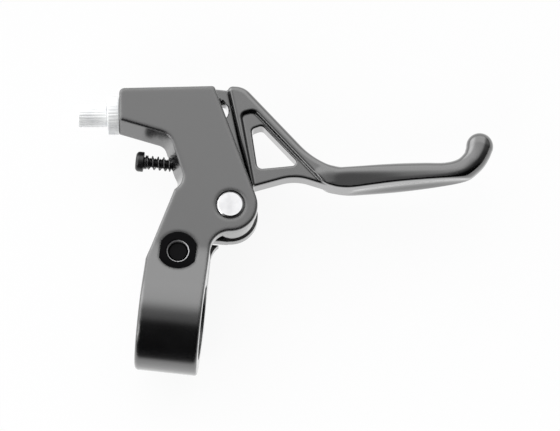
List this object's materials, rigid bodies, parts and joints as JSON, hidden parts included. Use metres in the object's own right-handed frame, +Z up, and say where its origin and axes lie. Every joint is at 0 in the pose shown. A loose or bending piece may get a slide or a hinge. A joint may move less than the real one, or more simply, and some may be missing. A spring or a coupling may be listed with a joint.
{
  "type": "bicycle brake lever",
  "caption": "Flat-bar brake lever: cast bracket with split bar clamp, pivoting triangle-frame lever with ball-ended finger blade, cable barrel adjuster and sprung reach screw.",
  "frame": {"origin": "centre of the handlebar clamp's bore, at the middle of the clamp band", "axes": "+X along the handlebar towards the grip's end, +Y ahead of the bar to the lever, +Z up out of the face that shows the nut and the pin's head"},
  "size_m": [0.1258, 0.0873, 0.0318],
  "materials": {
    "cast_black": "satin black paint over a casting",
    "lever_black": "gloss black paint over a casting",
    "bright_alloy": "bright turned",
    "plated_steel": "zinc plated",
    "black_steel": "black oxide",
    "spring_steel": "bright wire",
    "bush_plastic": "moulded"
  },
  "bodies": {
    "bracket": {"bracket": "cast_black", "clamp_nut": "black_steel", "clamp_bolt": "black_steel", "clamp_washer": "plated_steel", "pivot_pin": "plated_steel", "pivot_clip": "black_steel"},
    "lever": {"lever": "lever_black", "pivot_bush_near": "bush_plastic", "pivot_bush_far": "bush_plastic"},
    "lock_ring": {"adjuster_lock_ring": "bright_alloy"},
    "barrel": {"adjuster_barrel": "bright_alloy"},
    "reach_spring": {"reach_spring": "spring_steel"},
    "reach_screw": {"reach_screw": "black_steel"}
  },
  "joints": [
    {"name": "lever_pull", "type": "hinge", "parent": "bracket", "child": "lever", "pos_m": [0.0138, 0.03485, 0], "axis": [0, 0, -1], "range_deg": [0, 26]},
    {"name": "adjuster_turn", "type": "hinge", "parent": "bracket", "child": "lock_ring", "pos_m": [-0.02253, 0.06087, 0], "axis": [-0.9925, -0.1219, 0], "range_deg": [0, 1801]},
    {"name": "adjuster_travel", "type": "slide", "parent": "lock_ring", "child": "barrel", "axis": [-0.9925, -0.1219, 0], "range_m": [0, 0.005]},
    {"name": "reach_turn", "type": "hinge", "parent": "bracket", "child": "reach_spring", "pos_m": [-0.01375, 0.0473, 0], "axis": [-1, 0, 0], "range_deg": [0, 2161]},
    {"name": "reach_travel", "type": "slide", "parent": "reach_spring", "child": "reach_screw", "axis": [-1, 0, 0], "range_m": [0, 0.003], "deforming": ["reach_spring"]}
  ],
  "couplings": [
    {"joint": "adjuster_turn", "follows": "adjuster_travel", "rad_per_m": 6283.2},
    {"joint": "reach_turn", "follows": "reach_travel", "rad_per_m": 12566}
  ]
}
